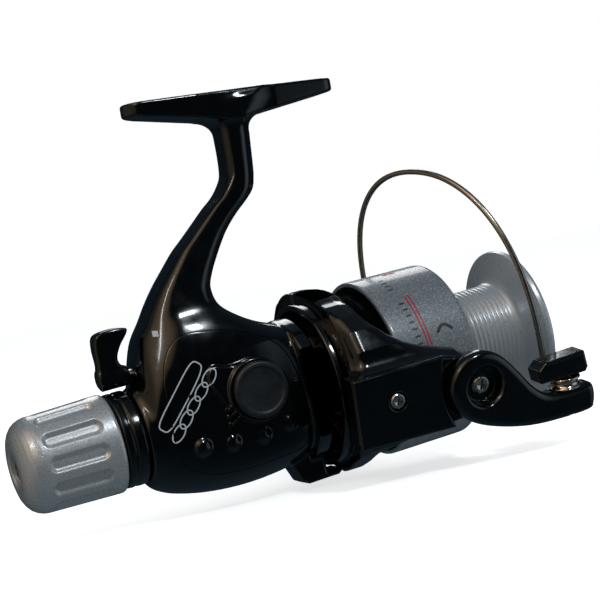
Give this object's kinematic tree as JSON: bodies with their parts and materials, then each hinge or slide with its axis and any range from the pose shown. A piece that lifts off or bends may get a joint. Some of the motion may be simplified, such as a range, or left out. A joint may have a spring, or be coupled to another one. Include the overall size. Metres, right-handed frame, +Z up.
{
  "type": "spinning reel",
  "caption": "Rear-drag spinning reel: rod foot on a stem, closed gear case, rotor with two arms and a wire bail, long-skirt spool, folding crank handle, fluted rear drag knob.",
  "frame": {"origin": "centre of the foot's flat top face, which seats on the rod", "axes": "+X along the foot towards the rod tip, +Y towards the handle side, +Z up out of the foot; the main shaft runs along X and rises 4.4 degrees towards +X"},
  "size_m": [0.165, 0.1169, 0.1151],
  "materials": {
    "gloss_black": "glossy black moulded plastic",
    "silver_paint": "silver metal-flake paint under clear coat",
    "steel": "polished steel",
    "brass": "turned brass",
    "zinc": "grey zinc die casting",
    "nylon": "natural nylon",
    "felt": "pressed felt",
    "satin_black": "satin black plastic"
  },
  "bodies": {
    "housing": {"body_housing": "gloss_black", "side_cover": "gloss_black", "handle_screw_cap": "gloss_black", "cover_screw_1": "steel", "cover_screw_2": "steel", "cover_screw_3": "steel", "rear_collar": "gloss_black", "crank_bush_near": "nylon", "crank_bush_far": "nylon", "rear_shaft_bush": "nylon", "pinion_bearing_outer": "steel", "pinion_bearing_balls": "steel", "bearing_retainer": "zinc", "slider_guide_rod": "steel", "drag_felt_washer_1": "felt", "drag_felt_washer_2": "felt", "drag_pressure_plate": "zinc", "drag_spring": "steel"},
    "rotor": {"rotor": "gloss_black", "pinion_gear": "brass", "rotor_nut": "brass", "anti_reverse_ratchet": "zinc", "pinion_bearing_inner": "steel", "arm_cover_near": "gloss_black", "arm_cover_far": "gloss_black", "arm_cover_screw_near": "steel", "arm_cover_screw_far": "steel", "bail_spring": "steel", "bail_pivot_screw_near": "steel", "bail_pivot_screw_far": "steel"},
    "bail": {"roller_arm": "gloss_black", "far_bail_arm": "gloss_black", "bail_wire": "steel", "wire_holder": "gloss_black", "line_roller_screw": "steel"},
    "line_roller": {"line_roller": "brass"},
    "carriage": {"oscillation_slider": "zinc"},
    "spool_unit": {"main_shaft": "steel", "spool_seat": "brass", "spool": "silver_paint"},
    "release_button": {"spool_release_button": "satin_black"},
    "drag_sleeve": {"drag_sleeve": "brass", "drag_keyed_washer_1": "steel", "drag_keyed_washer_2": "steel"},
    "drag_knob": {"drag_knob": "silver_paint", "drag_knob_screw": "steel", "drag_spindle": "brass"},
    "drag_nut": {"drag_nut": "brass"},
    "crank": {"drive_gear": "zinc", "crank_shaft": "steel", "oscillation_drive_gear": "nylon", "handle_hub": "satin_black", "handle_fold_pin": "steel"},
    "handle": {"handle_arm": "gloss_black", "handle_knob_spindle": "steel"},
    "handle_knob": {"handle_knob": "satin_black"},
    "oscillation_gear": {"oscillation_gear": "nylon"},
    "anti_reverse_lever": {"anti_reverse_lever": "gloss_black", "anti_reverse_cam_rod": "steel"},
    "pawl": {"anti_reverse_pawl": "zinc"}
  },
  "joints": [
    {"name": "crank_spin", "type": "hinge", "parent": "housing", "child": "crank", "pos_m": [-0.01166, 0, -0.08434], "axis": [0, 1, 0], "continuous": true},
    {"name": "rotor_spin", "type": "hinge", "parent": "housing", "child": "rotor", "pos_m": [0.00865, 0, -0.0876], "axis": [0.9971, 0, 0.0767], "continuous": true},
    {"name": "oscillation_gear_spin", "type": "hinge", "parent": "housing", "child": "oscillation_gear", "pos_m": [-0.0271, 0, -0.09235], "axis": [0, 1, 0], "continuous": true},
    {"name": "handle_fold", "type": "hinge", "parent": "crank", "child": "handle", "pos_m": [-0.01166, 0.028, -0.08434], "axis": [0.1323, 0, 0.9912], "range_deg": [0, 90]},
    {"name": "handle_knob_spin", "type": "hinge", "parent": "handle", "child": "handle_knob", "pos_m": [0.03393, 0, -0.09043], "axis": [0, 1, 0], "continuous": true},
    {"name": "bail_swing", "type": "hinge", "parent": "rotor", "child": "bail", "pos_m": [0.04614, 0.00029, -0.08608], "axis": [-0.016, 0.9781, 0.2073], "range_deg": [0, 100], "stiffness_Nm_per_rad": 0.01, "springref_deg": -68.75},
    {"name": "line_roller_spin", "type": "hinge", "parent": "bail", "child": "line_roller", "pos_m": [0.07422, -0.03408, -0.09781], "axis": [-0.075, -0.2079, 0.9753], "continuous": true},
    {"name": "spool_slide", "type": "slide", "parent": "housing", "child": "carriage", "axis": [0.9971, 0, 0.0767], "range_m": [0, 0.012]},
    {"name": "spool_spin", "type": "hinge", "parent": "carriage", "child": "spool_unit", "pos_m": [0.00865, 0, -0.0876], "axis": [0.9971, 0, 0.0767], "continuous": true},
    {"name": "release_button_press", "type": "slide", "parent": "spool_unit", "child": "release_button", "axis": [-0.9971, 0, -0.0767], "range_m": [0, 0.0015], "stiffness_N_per_m": 300, "springref_m": -0.001},
    {"name": "drag_sleeve_spin", "type": "hinge", "parent": "housing", "child": "drag_sleeve", "pos_m": [-0.05118, 0, -0.0922], "axis": [0.9971, 0, 0.0767], "continuous": true},
    {"name": "drag_knob_turn", "type": "hinge", "parent": "housing", "child": "drag_knob", "pos_m": [-0.06314, 0, -0.09312], "axis": [0.9971, 0, 0.0767], "range_deg": [-540, 540]},
    {"name": "drag_nut_travel", "type": "slide", "parent": "housing", "child": "drag_nut", "axis": [0.9971, 0, 0.0767], "range_m": [-0.0011, 0.0011], "deforming": ["drag_spring"]},
    {"name": "anti_reverse_switch", "type": "hinge", "parent": "housing", "child": "anti_reverse_lever", "pos_m": [-0.04751, 0, -0.07466], "axis": [0.9971, 0, 0.0767], "range_deg": [0, 50]},
    {"name": "pawl_lift", "type": "hinge", "parent": "housing", "child": "pawl", "pos_m": [0.01885, 0.0095, -0.07678], "axis": [0.9971, 0, 0.0767], "range_deg": [-12, 0]}
  ],
  "couplings": [
    {"joint": "rotor_spin", "follows": "crank_spin", "ratio": 5},
    {"joint": "oscillation_gear_spin", "follows": "crank_spin", "ratio": -0.5},
    {"joint": "drag_sleeve_spin", "follows": "spool_spin", "ratio": 1},
    {"joint": "drag_nut_travel", "follows": "drag_knob_turn", "m_per_rad": 0.00011141},
    {"joint": "pawl_lift", "follows": "anti_reverse_switch", "ratio": -0.2}
  ]
}
